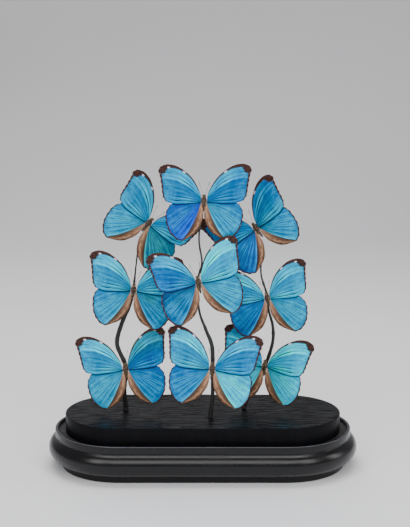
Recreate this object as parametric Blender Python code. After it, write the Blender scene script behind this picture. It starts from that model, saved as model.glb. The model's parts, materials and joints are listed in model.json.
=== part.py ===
"""Nine blue butterflies on three tapering black twigs, over an oval two-step wooden base."""

import math

import bmesh
import bpy
from mathutils import Matrix, Vector

MM = 0.001
GAP = 0.3

# Base, in millimetres. The plan is an oval with straight sides and half-round ends.
BASE_LENGTH = 400.0
BASE_DEPTH = 190.0
FOOT_INSET = 16.0
FOOT_HEIGHT = 9.5
ROLL_RADIUS = 15.5
ROLL_HEIGHT = 24.7
BAND_RADIUS = 86.8
LIP_RADIUS = 86.2
LIP_WIDTH = 3.4
LIP_HEIGHT = 49.5
GROOVE_DEPTH = 5.0
EDGE_SOFTENING = 0.8
PLINTH_RADIUS = 72.7
PLINTH_TOP = 69.0

END_CENTRE = (BASE_LENGTH - BASE_DEPTH) / 2
ROLL_CENTRE = BASE_DEPTH / 2 - ROLL_RADIUS
GROOVE_FLOOR = LIP_HEIGHT - GROOVE_DEPTH
END_STEPS = 16
ROLL_STEPS = 8

# Wings of the viewer's right side, seen from above the back, in millimetres.
# The origin lies between the wing bases, x runs outwards and y towards the head.
FOREWING_FRONT = [(3.9, 3.0), (6.5, 12.0), (17.0, 29.5), (33.5, 42.8), (48.0, 46.6), (57.5, 43.6)]
FOREWING_MARGIN = [(57.5, 43.6), (60.0, 39.2), (58.0, 32.0), (55.8, 18.0), (54.2, 7.0), (50.5, 0.2)]
FOREWING_INNER = [(3.9, -2.6), (20.0, -3.6), (38.0, -3.6), (50.5, 0.2)]
HINDWING_FRONT = [(3.9, -1.6), (18.0, 0.5), (34.0, -0.5), (45.0, -5.3)]
HINDWING_MARGIN = [(45.0, -5.3), (49.8, -15.0), (49.4, -26.0), (44.8, -39.6), (35.6, -49.6), (26.5, -51.8)]
HINDWING_INNER = [(3.7, -5.4), (1.4, -10.0), (0.6, -19.5), (2.4, -28.2), (9.8, -41.6), (26.5, -51.8)]
FOREWING_ROOT = (3.9, 1.0, 0.9)
HINDWING_ROOT = (3.9, -3.0, -0.3)
WING_THICKNESS = 0.6
WING_BOW = 1.6
WING_SPAN = 64.0
STEPS_ALONG = 5
STEPS_ACROSS = 6

# Body: height along the body, half width, half depth, and how far it sinks to the belly side.
BODY_RINGS = [
    (6.9, 0.9, 0.8, 0.0),
    (6.0, 1.7, 1.6, 0.0),
    (4.8, 1.9, 1.8, 0.0),
    (3.9, 1.5, 1.6, 0.0),
    (2.4, 2.8, 3.2, 0.0),
    (0.0, 3.5, 4.0, 0.0),
    (-3.4, 3.4, 3.9, 0.0),
    (-6.6, 2.2, 3.0, 0.4),
    (-9.5, 1.4, 1.4, 2.5),
    (-13.0, 1.2, 1.2, 2.8),
    (-15.5, 0.6, 0.6, 2.9),
]
BODY_SIDES = 8
BELLY_DEPTH = 4.1
ANTENNA_BASE = (0.8, 6.4, 0.9)
ANTENNA_POINTS = [(1.6, 8.2, 1.2), (4.6, 16.0, 2.6), (6.4, 23.5, 3.4)]
ANTENNA_THICKNESS = 0.5

# Butterflies: where the wing bases are in the assembly, and how each one is turned, in degrees.
# Roll is clockwise as seen from the front, yaw turns about the height, pitch brings the head
# forward. Lift raises the viewer's left and right wings, and the sweeps turn each wing forward.
BUTTERFLIES = {
    "top_left": dict(
        at=(-66.5, -14, 319), roll=40, yaw=4, pitch=1, size=0.98,
        lift=(12, 9), fore_sweep=(0, 3), hind_sweep=(6, 5)),
    "top_centre": dict(
        at=(1.5, -40, 351), roll=0, yaw=9, pitch=3, size=0.97,
        lift=(7, 8), fore_sweep=(1, 0), hind_sweep=(1, 0)),
    "top_right": dict(
        at=(66.5, 2, 310), roll=-38, yaw=-16, pitch=-7, size=0.98,
        lift=(12, 12), fore_sweep=(1, -1), hind_sweep=(7, 12)),
    "middle_left": dict(
        at=(-87.5, -8, 232.5), roll=7, yaw=6, pitch=-6, size=1.0,
        lift=(11, 9), fore_sweep=(-2, 0), hind_sweep=(6, 5)),
    "middle_centre": dict(
        at=(-5.5, -40, 249), roll=-12, yaw=6, pitch=-5, size=1.01,
        lift=(13, 12), fore_sweep=(1, 2), hind_sweep=(8, 8)),
    "middle_right": dict(
        at=(81.5, -12, 223), roll=-9, yaw=-5, pitch=6, size=0.98,
        lift=(9, 11), fore_sweep=(0, 3), hind_sweep=(6, 4)),
    "bottom_left": dict(
        at=(-99.5, -8, 129), roll=-8, yaw=-3, pitch=-7, size=1.0,
        lift=(7, 7), fore_sweep=(1, 2), hind_sweep=(4, 3)),
    "bottom_centre": dict(
        at=(12, -40, 138.5), roll=5, yaw=-5, pitch=-11, size=1.02,
        lift=(8, 10), fore_sweep=(1, -2), hind_sweep=(8, 9)),
    "bottom_right": dict(
        at=(80.3, 4, 129.5), roll=5, yaw=-11, pitch=-4, size=1.0,
        lift=(12, 13), fore_sweep=(4, -7), hind_sweep=(0, 6)),
}

# Twigs, from just above the foot up: x, y, z and radius, or a butterfly and the radius there.
TWIGS = {
    "stem_left": [
        (-100, 3, 73, 3.2), (-101.5, 1, 98, 2.8),
        ("bottom_left", 2.7),
        (-110, -1, 158, 2.9), (-104, -2, 185, 2.6), (-92.5, -2, 211, 2.0),
        ("middle_left", 1.5),
        (-84.5, -3, 262, 1.0), (-79.5, -6, 294, 0.9),
        ("top_left", 0.8),
    ],
    "stem_centre": [
        (10, -29, 73, 2.9), (12.5, -30, 98, 2.4),
        ("bottom_centre", 2.5),
        (11.5, -34, 165, 2.6), (3.5, -34, 187, 2.0), (-4.5, -34, 211, 1.4),
        ("middle_centre", 1.3),
        (-1, -34, 272, 1.2), (-4.5, -34, 303, 1.1),
        ("top_centre", 1.0),
    ],
    "stem_right": [
        (54, 8, 73, 2.8), (64, 9, 96, 2.4),
        ("bottom_right", 2.3),
        (90, 4, 160, 2.1), (89.5, 1, 183, 1.9), (84, -2.5, 204, 1.6),
        ("middle_right", 1.4),
        (74.5, -2, 248, 1.2), (73.5, 4, 272, 1.1),
        ("top_right", 1.0),
    ],
}
TWIG_STEPS = 2
TWIG_TOP_OVERHANG = 3.0


def clear_scene():
    for item in list(bpy.data.objects):
        bpy.data.objects.remove(item, do_unlink=True)


def make_material(name, colour, roughness, metallic=0.0):
    material = bpy.data.materials.new(name)
    material.use_nodes = True
    shader = material.node_tree.nodes["Principled BSDF"]
    shader.inputs["Base Color"].default_value = (*colour, 1.0)
    shader.inputs["Roughness"].default_value = roughness
    shader.inputs["Metallic"].default_value = metallic
    return material


def make_object(name, mesh, material):
    item = bpy.data.objects.new(name, mesh)
    bpy.context.collection.objects.link(item)
    item.data.materials.append(material)
    return item


def mesh_from(bm, name):
    bmesh.ops.recalc_face_normals(bm, faces=bm.faces)
    mesh = bpy.data.meshes.new(name)
    bm.to_mesh(mesh)
    bm.free()
    return mesh


def smooth_point(points, position):
    """A point of the smooth curve through the given points, at a position counted in spans."""
    span = min(int(position), len(points) - 2)
    t = position - span
    before = points[max(span - 1, 0)]
    start = points[span]
    end = points[span + 1]
    after = points[min(span + 2, len(points) - 1)]
    bend = 2 * before - 5 * start + 4 * end - after
    twist = 3 * start - before - 3 * end + after
    return start + 0.5 * t * ((end - before) + t * (bend + t * twist))


def spread_along(points, count, samples=12):
    """Points of the smooth curve through the given ones, evenly spread over its length."""
    fine = [
        smooth_point(points, step / samples)
        for step in range(samples * (len(points) - 1) + 1)
    ]
    reach = [0.0]
    for start, end in zip(fine, fine[1:]):
        reach.append(reach[-1] + (end - start).length)
    spread = []
    for step in range(count + 1):
        wanted = reach[-1] * step / count
        index = max(i for i, length in enumerate(reach) if length <= wanted + 1e-9)
        index = min(index, len(fine) - 2)
        part = (wanted - reach[index]) / (reach[index + 1] - reach[index])
        spread.append(fine[index].lerp(fine[index + 1], part))
    return spread


def oval_turning(name, profile, material):
    """Half-round ends turned from a profile of (radius, height), joined by straight sides."""
    bm = bmesh.new()
    points = [
        bm.verts.new((END_CENTRE * MM, -radius * MM, height * MM))
        for radius, height in profile
    ]
    edges = [bm.edges.new(pair) for pair in zip(points, points[1:])]
    bmesh.ops.spin(
        bm, geom=points + edges, cent=(END_CENTRE * MM, 0, 0), axis=(0, 0, 1),
        angle=math.pi, steps=END_STEPS, use_merge=False)
    bmesh.ops.remove_doubles(bm, verts=bm.verts, dist=1e-6)
    bmesh.ops.mirror(bm, geom=bm.verts[:] + bm.edges[:] + bm.faces[:], axis="X", merge_dist=0)
    rims = [edge for edge in bm.edges if edge.is_boundary]
    bmesh.ops.bridge_loops(bm, edges=rims)
    item = make_object(name, mesh_from(bm, name), material)
    item.data.shade_smooth()
    item.data.set_sharp_from_angle(angle=math.radians(35))
    return item


def roll_profile():
    """The half-round moulding, from its underside up to where the upright band stands on it."""
    band_angle = math.acos((BAND_RADIUS - ROLL_CENTRE) / ROLL_RADIUS)
    start = -math.pi / 2
    angles = [start + (band_angle - start) * step / ROLL_STEPS for step in range(ROLL_STEPS + 1)]
    return [
        (ROLL_CENTRE + ROLL_RADIUS * math.cos(a), ROLL_HEIGHT + ROLL_RADIUS * math.sin(a))
        for a in angles
    ]


def make_base(material):
    foot = BASE_DEPTH / 2 - FOOT_INSET
    inner = LIP_RADIUS - LIP_WIDTH
    soft = EDGE_SOFTENING
    profile = [(0, 0), (foot, 0), (foot, FOOT_HEIGHT)]
    profile += roll_profile()[1:]
    profile += [
        (LIP_RADIUS, LIP_HEIGHT - soft), (LIP_RADIUS - soft, LIP_HEIGHT),
        (inner + soft, LIP_HEIGHT), (inner, LIP_HEIGHT - soft),
        (inner, GROOVE_FLOOR), (0, GROOVE_FLOOR),
    ]
    return oval_turning("base_moulding", profile, material)


def make_plinth(material):
    soft = EDGE_SOFTENING
    bottom = GROOVE_FLOOR + GAP
    profile = [
        (0, bottom), (PLINTH_RADIUS, bottom), (PLINTH_RADIUS, PLINTH_TOP - soft),
        (PLINTH_RADIUS - soft, PLINTH_TOP), (0, PLINTH_TOP),
    ]
    return oval_turning("plinth", profile, material)


def wing_grid(front, margin, inner):
    """Points of a wing between its four edges, by rows from the root to the outer margin."""
    front_edge = spread_along([Vector(p) for p in front], STEPS_ALONG)
    inner_edge = spread_along([Vector(p) for p in inner], STEPS_ALONG)
    margin_edge = spread_along([Vector(p) for p in margin], STEPS_ACROSS)
    root_front, root_back = front_edge[0], inner_edge[0]
    tip_front, tip_back = front_edge[-1], inner_edge[-1]
    rows = []
    for i in range(STEPS_ALONG + 1):
        u = i / STEPS_ALONG
        row = []
        for j in range(STEPS_ACROSS + 1):
            v = j / STEPS_ACROSS
            across = front_edge[i].lerp(inner_edge[i], v)
            along = root_front.lerp(root_back, v).lerp(margin_edge[j], u)
            corners = root_front.lerp(tip_front, u).lerp(root_back.lerp(tip_back, u), v)
            row.append(across + along - corners)
        rows.append(row)
    return rows


def make_wing(name, edges, root, side, size, lift, sweep, material):
    """One wing as a thin bowed plate, turned about its root on the body."""
    rows = wing_grid(*edges)
    origin = Vector(root)
    bm = bmesh.new()
    bmesh.ops.create_grid(bm, x_segments=STEPS_ALONG, y_segments=STEPS_ACROSS, size=1)
    for vert in bm.verts:
        i = round((vert.co.x + 1) / 2 * STEPS_ALONG)
        j = round((vert.co.y + 1) / 2 * STEPS_ACROSS)
        flat = rows[i][j] - origin.xy
        bow = WING_BOW * math.sin(math.pi * flat.length / WING_SPAN)
        vert.co = Vector((side * flat.x, flat.y, bow)) * size * MM
    wing = make_object(name, mesh_from(bm, name), material)
    plate = wing.modifiers.new("thickness", "SOLIDIFY")
    plate.thickness = WING_THICKNESS * MM
    plate.offset = 0
    wing.rotation_mode = "ZYX"
    wing.rotation_euler = (0, -side * math.radians(lift), side * math.radians(sweep))
    wing.location = Vector((side * origin.x, origin.y, origin.z)) * size * MM
    return wing


def make_body(name, size, material):
    """Head, thorax and abdomen in one skin, with the two antennae drawn out of the head."""
    bm = bmesh.new()
    bmesh.ops.create_circle(bm, cap_ends=True, segments=BODY_SIDES, radius=1)
    bm.faces.ensure_lookup_table()
    head_tip = bm.faces[0]
    shape_ring(head_tip, *BODY_RINGS[0])
    face = bmesh.ops.extrude_face_region(bm, geom=[head_tip], use_keep_orig=True)["geom"]
    face = next(item for item in face if isinstance(item, bmesh.types.BMFace))
    shape_ring(face, *BODY_RINGS[1])
    for ring in BODY_RINGS[2:]:
        face = bmesh.ops.extrude_discrete_faces(bm, faces=[face])["faces"][0]
        shape_ring(face, *ring)
    for side in (-1, 1):
        draw_antenna(bm, side)
    bmesh.ops.scale(bm, vec=Vector((size, size, size)) * MM, verts=bm.verts)
    body = make_object(name, mesh_from(bm, name), material)
    body.data.shade_smooth()
    return body


def shape_ring(face, height, half_width, half_depth, sink):
    """Set a face's corners on an oval round the body, at a height along it."""
    for index, vert in enumerate(face.verts):
        turn = 2 * math.pi * (index + 0.5) / BODY_SIDES
        vert.co = Vector((
            half_width * math.cos(turn), height, half_depth * math.sin(turn) - sink))


def draw_antenna(bm, side):
    """Pull one face of the head out into a thin rod."""
    x, y, z = ANTENNA_BASE
    base = Vector((side * x, y, z))
    face = min(bm.faces, key=lambda f: (f.calc_center_median() - base).length)
    for x, y, z in ANTENNA_POINTS:
        target = Vector((side * x, y, z))
        face = bmesh.ops.extrude_discrete_faces(bm, faces=[face])["faces"][0]
        centre = face.calc_center_median()
        reach = max((vert.co - centre).length for vert in face.verts)
        for vert in face.verts:
            vert.co = target + (vert.co - centre) * (ANTENNA_THICKNESS / 2 / reach)


def perch_matrix(at, roll, yaw, pitch):
    """Turn a butterfly that lies flat, head along +Y and back up, so that its back faces -Y."""
    turn = (
        Matrix.Rotation(math.radians(90), 4, "X")
        @ Matrix.Rotation(math.radians(yaw), 4, "Y")
        @ Matrix.Rotation(math.radians(pitch), 4, "X")
        @ Matrix.Rotation(math.radians(-roll), 4, "Z")
    )
    return Matrix.Translation(Vector(at) * MM) @ turn


def make_butterfly(place, pose, materials):
    perch = bpy.data.objects.new("perch_" + place, None)
    bpy.context.collection.objects.link(perch)
    perch.matrix_world = perch_matrix(pose["at"], pose["roll"], pose["yaw"], pose["pitch"])
    forewing = (FOREWING_FRONT, FOREWING_MARGIN, FOREWING_INNER)
    hindwing = (HINDWING_FRONT, HINDWING_MARGIN, HINDWING_INNER)
    pieces = [make_body(place + "_body", pose["size"], materials["fur"])]
    for index, (side, word) in enumerate(((-1, "left"), (1, "right"))):
        lift = pose["lift"][index]
        pieces.append(make_wing(
            place + "_forewing_" + word, forewing, FOREWING_ROOT, side, pose["size"],
            lift, pose["fore_sweep"][index], materials["forewing"]))
        pieces.append(make_wing(
            place + "_hindwing_" + word, hindwing, HINDWING_ROOT, side, pose["size"],
            lift, pose["hind_sweep"][index], materials["hindwing"]))
    for piece in pieces:
        piece.parent = perch


def twig_points(route):
    """The route's points in millimetres, each with its radius, passing behind each body."""
    points = []
    for stop in route:
        if len(stop) == 4:
            points.append(Vector(stop))
            continue
        place, radius = stop
        pose = BUTTERFLIES[place]
        behind = -(BELLY_DEPTH * pose["size"] + GAP + radius)
        matrix = perch_matrix(pose["at"], pose["roll"], pose["yaw"], pose["pitch"])
        spot = matrix @ (Vector((0, 0, behind)) * MM) / MM
        points.append(Vector((*spot, radius)))
    above = points[-1].copy()
    above.z += TWIG_TOP_OVERHANG
    points.append(above)
    return points


def make_twig(name, route, material):
    stops = twig_points(route)
    count = TWIG_STEPS * (len(stops) - 1)
    spots = [smooth_point(stops, step / TWIG_STEPS) for step in range(count + 1)]
    foot = spots[0].copy()
    foot.z = PLINTH_TOP + GAP
    spots.insert(0, foot)
    curve = bpy.data.curves.new(name, "CURVE")
    curve.dimensions = "3D"
    curve.bevel_depth = MM
    curve.bevel_resolution = 1
    curve.use_fill_caps = True
    spline = curve.splines.new("POLY")
    spline.points.add(len(spots) - 1)
    for point, spot in zip(spline.points, spots):
        point.co = (*(Vector(spot[:3]) * MM), 1)
        point.radius = spot[3]
    return make_object(name, curve, material)


def main():
    clear_scene()
    lacquer = make_material("black_lacquered_wood", (0.012, 0.012, 0.014), 0.3)
    grain = make_material("black_grained_wood", (0.02, 0.02, 0.024), 0.45)
    bark = make_material("black_bark", (0.02, 0.018, 0.018), 0.5)
    butterfly_materials = {
        "fur": make_material("brown_fur", (0.09, 0.05, 0.025), 0.8),
        "forewing": make_material("azure_forewing", (0.01, 0.38, 0.8), 0.35, 0.3),
        "hindwing": make_material("blue_hindwing", (0.01, 0.3, 0.75), 0.35, 0.3),
    }
    make_base(lacquer)
    make_plinth(grain)
    for name, route in TWIGS.items():
        make_twig(name, route, bark)
    for place, pose in BUTTERFLIES.items():
        make_butterfly(place, pose, butterfly_materials)
    bpy.context.view_layer.update()


main()
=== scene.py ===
"""Models and finishes a display of nine blue butterflies over an oval wooden base.

The wings, bodies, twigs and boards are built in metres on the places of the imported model.
"""

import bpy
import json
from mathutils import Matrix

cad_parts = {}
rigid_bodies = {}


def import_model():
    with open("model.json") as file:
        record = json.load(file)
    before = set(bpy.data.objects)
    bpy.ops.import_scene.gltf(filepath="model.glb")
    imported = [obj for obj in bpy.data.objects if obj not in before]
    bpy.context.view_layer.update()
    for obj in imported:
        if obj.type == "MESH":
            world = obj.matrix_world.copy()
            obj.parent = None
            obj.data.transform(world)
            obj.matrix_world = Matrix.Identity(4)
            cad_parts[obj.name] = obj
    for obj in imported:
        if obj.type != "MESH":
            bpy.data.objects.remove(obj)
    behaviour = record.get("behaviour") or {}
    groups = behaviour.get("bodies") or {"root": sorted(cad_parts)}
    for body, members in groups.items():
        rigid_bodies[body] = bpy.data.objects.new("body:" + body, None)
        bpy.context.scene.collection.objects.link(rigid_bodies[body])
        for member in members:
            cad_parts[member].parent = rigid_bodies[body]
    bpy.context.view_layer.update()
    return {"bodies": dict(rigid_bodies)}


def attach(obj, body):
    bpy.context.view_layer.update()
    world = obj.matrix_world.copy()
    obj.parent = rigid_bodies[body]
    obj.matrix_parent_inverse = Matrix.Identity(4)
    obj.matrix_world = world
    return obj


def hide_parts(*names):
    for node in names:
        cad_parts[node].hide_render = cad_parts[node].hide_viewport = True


bl_info = {
    "name": "Butterfly Display",
    "version": (1, 0, 0),
    "blender": (4, 5, 0),
    "location": "3D View > Sidebar > Butterflies",
    "description": "Models and finishes nine mounted butterflies over an oval wooden base",
    "category": "Add Mesh",
}

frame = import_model()

import functools
import json
import math
import random

import bmesh
import bpy
import numpy as np
from bpy.props import FloatProperty, FloatVectorProperty, IntProperty, PointerProperty
from mathutils import Matrix, Vector, noise

BODY = next(iter(frame["bodies"]))
MM = 0.001
UV_SCALE = 0.01

# Boards: plan radii round the two end centres, and heights, in millimetres.
END_CENTRE = 105.0
FOOT_RADIUS = 79.0
FOOT_TOP = 8.6
ROLL_CENTRE = 79.5
ROLL_HEIGHT = 24.7
ROLL_RADIUS = 15.5
BAND_RADIUS = 86.8
LIP_RADIUS = 86.2
LIP_WIDTH = 3.4
LIP_HEIGHT = 49.5
LIP_SOFTENING = 0.8
GROOVE_FLOOR = 44.5
PLINTH_RADIUS = 72.7
PLINTH_BASE = 44.8
PLINTH_TOP = 69.0
PLINTH_SOFTENING = 0.9
PLINTH_TOP_STEPS = 52
END_STEPS = 64
RUN_RADIUS = 80.0

# Wing edges of the viewer's right side, in millimetres: x outwards, y towards the head.
FOREWING_FRONT = [(3.9, 3.0), (6.5, 12.0), (17.0, 29.5), (33.5, 42.8), (48.0, 46.6), (57.5, 43.6)]
FOREWING_MARGIN = [(57.5, 43.6), (60.0, 39.2), (58.0, 32.0), (55.8, 18.0), (54.2, 7.0), (50.5, 0.2)]
FOREWING_INNER = [(3.9, -2.6), (20.0, -3.6), (38.0, -3.6), (50.5, 0.2)]
HINDWING_FRONT = [(3.9, -1.6), (18.0, 0.5), (34.0, -0.5), (45.0, -5.3)]
HINDWING_MARGIN = [(45.0, -5.3), (49.8, -15.0), (49.4, -26.0), (44.8, -39.6), (35.6, -49.6), (27.6, -51.9)]
HINDWING_FOLD = [(3.8, -4.4), (7.2, -14.2), (11.9, -26.0), (18.4, -38.5), (27.6, -51.9)]
HINDWING_INNER = [(3.7, -5.4), (1.4, -10.0), (0.6, -19.5), (2.4, -28.2), (9.8, -41.6), (26.5, -51.8)]
FOREWING_ROOT = (3.9, 1.0, 0.9)
HINDWING_ROOT = (3.9, -3.0, -0.3)
FOREWING_TIP = (58.0, 44.0)
WING_BOW = 1.6
WING_SPAN = 64.0
STEPS_ALONG = 60
STEPS_ACROSS = 48
FOLD_STEPS = 10
FOLD_START = 0.8
VEIN_SPACES = 7

# Body rings: height along the body, half width, half depth, and sink to the belly side.
BODY_RINGS = [
    (7.0, 0.0, 0.0, 0.0), (6.9, 0.9, 0.8, 0.0), (6.0, 1.7, 1.6, 0.0), (4.8, 1.9, 1.8, 0.0),
    (3.9, 1.5, 1.6, 0.0), (2.4, 2.8, 3.2, 0.0), (0.0, 3.5, 4.0, 0.0), (-3.4, 3.4, 3.9, 0.0),
    (-6.6, 2.2, 3.0, 0.4), (-9.5, 1.4, 1.4, 2.5), (-13.0, 1.2, 1.2, 2.8), (-15.5, 0.6, 0.6, 2.9),
    (-15.8, 0.0, 0.0, 2.9),
]
BODY_SIDES = 24
BELLY_DEPTH = 4.1
BODY_GAP = 0.3
ANTENNA_POINTS = [(0.8, 6.2, 0.9), (1.6, 8.2, 1.2), (4.6, 16.0, 2.6), (6.4, 23.5, 3.4)]
ANTENNA_CLUB = [0.17, 0.21, 0.26, 0.29, 0.29, 0.24, 0.12]
LEGS = [(1.0, 3.0, 6.5), (-1.2, 1.2, -5.5), (-3.4, -5.8, -11.0)]
EYE_CENTRE = (1.35, 5.3, 0.45)
EYE_RADIUS = 0.95
HAIR_RADIUS = 0.11
TUFT_SIZE = 80

# Blues of the wings, as the shares of red, green and blue light that they send back: lighter, darker and
# differently hued copies of one blue, from a pale painted highlight to a navy painted shade.
PALETTE = {
    "azure": (0.0, 0.108, 0.39),
    "bright": (0.0, 0.165, 0.45),
    "cyan": (0.0, 0.235, 0.49),
    "pale": (0.0, 0.48, 0.82),
    "mint": (0.0, 0.33, 0.62),
    "teal": (0.0, 0.145, 0.245),
    "deep": (0.0, 0.056, 0.30),
    "violet": (0.0, 0.042, 0.58),
    "navy": (0.0, 0.016, 0.10),
}

# Butterflies, as the imported model has them: the place between the wing bases, roll, yaw, pitch
# and size, and the lift and sweeps of the left and right wings, in millimetres and degrees.
# Then the blues near the hind edge and the front of the left wing, and those of the right one, each
# painted lighter or darker by how the light falls on that wing.
POSE_KEYS = ("at", "roll", "yaw", "pitch", "size", "lift", "fore_sweep", "hind_sweep", "fore", "hind")
POSES = {
    "top_left": (
        (-66.5, -14, 319), 40, 4, 1, 0.98, (12, 9), (0, 3), (6, 5),
        "cyan cyan cyan bright", "cyan cyan teal teal"),
    "top_centre": (
        (1.5, -40, 351), 0, 9, 3, 0.97, (7, 8), (1, 0), (1, 0),
        "bright cyan azure cyan", "violet azure cyan bright"),
    "top_right": (
        (66.5, 2, 310), -38, -16, -7, 0.98, (12, 12), (1, -1), (7, 12),
        "bright deep cyan azure", "deep azure cyan bright"),
    "middle_left": (
        (-87.5, -8, 232.5), 7, 6, -6, 1.0, (11, 9), (-2, 0), (6, 5),
        "cyan mint cyan mint", "cyan bright bright teal"),
    "middle_centre": (
        (-5.5, -40, 249), -12, 6, -5, 1.01, (13, 12), (1, 2), (8, 8),
        "azure cyan mint pale", "bright navy cyan cyan"),
    "middle_right": (
        (81.5, -12, 223), -9, -5, 6, 0.98, (9, 11), (0, 3), (6, 4),
        "cyan mint mint cyan", "azure azure cyan cyan"),
    "bottom_left": (
        (-99.5, -8, 129), -8, -3, -7, 1.0, (7, 7), (1, 2), (4, 3),
        "cyan mint azure teal", "cyan cyan bright azure"),
    "bottom_centre": (
        (12, -40, 138.5), 5, -5, -11, 1.02, (8, 10), (1, -2), (8, 9),
        "cyan mint bright cyan", "bright azure pale mint"),
    "bottom_right": (
        (80.3, 4, 129.5), 5, -11, -4, 1.0, (12, 13), (4, -7), (0, 6),
        "pale azure pale pale", "pale pale pale pale"),
}
BUTTERFLIES = {place: dict(zip(POSE_KEYS, row)) for place, row in POSES.items()}

# Twigs, from just above the foot up: x, y, z and radius, or a butterfly and the radius there.
TWIGS = {
    "stem_left": [
        (-100, 3, 73, 3.2), (-101.5, 1, 98, 2.8), ("bottom_left", 2.7),
        (-110, -1, 158, 2.9), (-104, -2, 185, 2.6), (-92.5, -2, 211, 2.0), ("middle_left", 1.5),
        (-84.5, -3, 262, 1.0), (-79.5, -6, 294, 0.9), ("top_left", 0.8)],
    "stem_centre": [
        (10, -29, 73, 2.9), (12.5, -30, 98, 2.4), ("bottom_centre", 2.5),
        (11.5, -34, 165, 2.6), (3.5, -34, 187, 2.0), (-4.5, -34, 211, 1.4), ("middle_centre", 1.3),
        (-1, -34, 272, 1.2), (-4.5, -34, 303, 1.1), ("top_centre", 1.0)],
    "stem_right": [
        (54, 8, 73, 2.8), (64, 9, 96, 2.4), ("bottom_right", 2.3),
        (90, 4, 160, 2.1), (89.5, 1, 183, 1.9), (84, -2.5, 204, 1.6), ("middle_right", 1.4),
        (74.5, -2, 248, 1.2), (73.5, 4, 272, 1.1), ("top_right", 1.0)],
}
TWIG_TOP_OVERHANG = 3.0
TWIG_SIDES = 20
TWIG_STEPS = 18

# Painted light and shade of the pleats over a wing, from its front edge back.
FOREWING_PAINTED_LIGHT = [
    (0.0, 0.5), (0.05, 0.58), (0.11, 0.78), (0.165, 0.56), (0.215, 0.66), (0.25, 0.95), (0.285, 0.8),
    (0.315, 0.6), (0.335, 1.0), (0.36, 0.9), (0.385, 0.44), (0.45, 0.4), (0.52, 0.54), (0.56, 0.42),
    (0.61, 0.56), (0.66, 0.46), (0.74, 0.62), (0.775, 0.42), (0.8, 0.72), (0.835, 0.9), (0.855, 0.6),
    (0.87, 0.9), (0.9, 0.5), (0.93, 0.92), (0.965, 0.7), (1.0, 0.3),
]
HINDWING_PAINTED_LIGHT = [
    (0.0, 0.4), (0.1, 0.42), (0.2, 0.52), (0.25, 0.7), (0.29, 0.48), (0.34, 0.62), (0.365, 0.86),
    (0.39, 0.9), (0.42, 0.46), (0.455, 0.8), (0.49, 0.76), (0.52, 0.44), (0.565, 0.76), (0.61, 0.5),
    (0.66, 0.74), (0.7, 0.44), (0.735, 0.6), (0.765, 0.82), (0.785, 1.0), (0.797, 0.6),
]
# Painted shade in the creases: the place across the wing, half the width in millimetres, the reach and the
# depth.
FOREWING_CREASE_SHADE = [
    (0.302, 0.8, 0.74, 0.95), (0.55, 0.45, 0.85, 0.4), (0.68, 0.45, 0.85, 0.4),
    (0.785, 0.5, 0.8, 0.65), (0.853, 0.45, 0.75, 0.65), (0.897, 0.75, 0.95, 0.95),
    (0.95, 0.45, 0.8, 0.55),
]
HINDWING_CREASE_SHADE = [
    (0.27, 0.45, 0.9, 0.55), (0.377, 0.6, 0.95, 0.85), (0.472, 0.5, 0.9, 0.65),
    (0.587, 0.45, 0.9, 0.6), (0.686, 0.45, 0.85, 0.55), (0.748, 0.35, 0.8, 0.5),
]
# Eyespots of the undersides: the place and the radius in millimetres.
EYESPOTS = {
    "forewing": [(36.0, 27.0, 4.4), (42.5, 16.5, 3.4), (44.0, 7.5, 3.6)],
    "hindwing": [(33.0, -9.5, 5.0), (37.0, -21.0, 3.6), (33.5, -31.0, 3.4), (27.0, -38.5, 4.2)],
}


def sign(operation, swapped=False):
    """What one of Python's signs does between values: it adds a Math node."""
    def work(value, other):
        first, second = (other, value) if swapped else (value, other)
        return value.finish.maths(operation, first, second)
    return work


class Value:
    """A number or colour in a material, on which Python's signs add Math nodes."""

    __add__ = __radd__ = sign("ADD")
    __mul__ = __rmul__ = sign("MULTIPLY")
    __sub__ = sign("SUBTRACT")
    __rsub__ = sign("SUBTRACT", swapped=True)
    __truediv__ = sign("DIVIDE")
    __pow__ = sign("POWER")

    def __init__(self, finish, socket):
        self.finish = finish
        self.socket = socket

    def __abs__(self):
        return self.finish.maths("ABSOLUTE", self)


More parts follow.
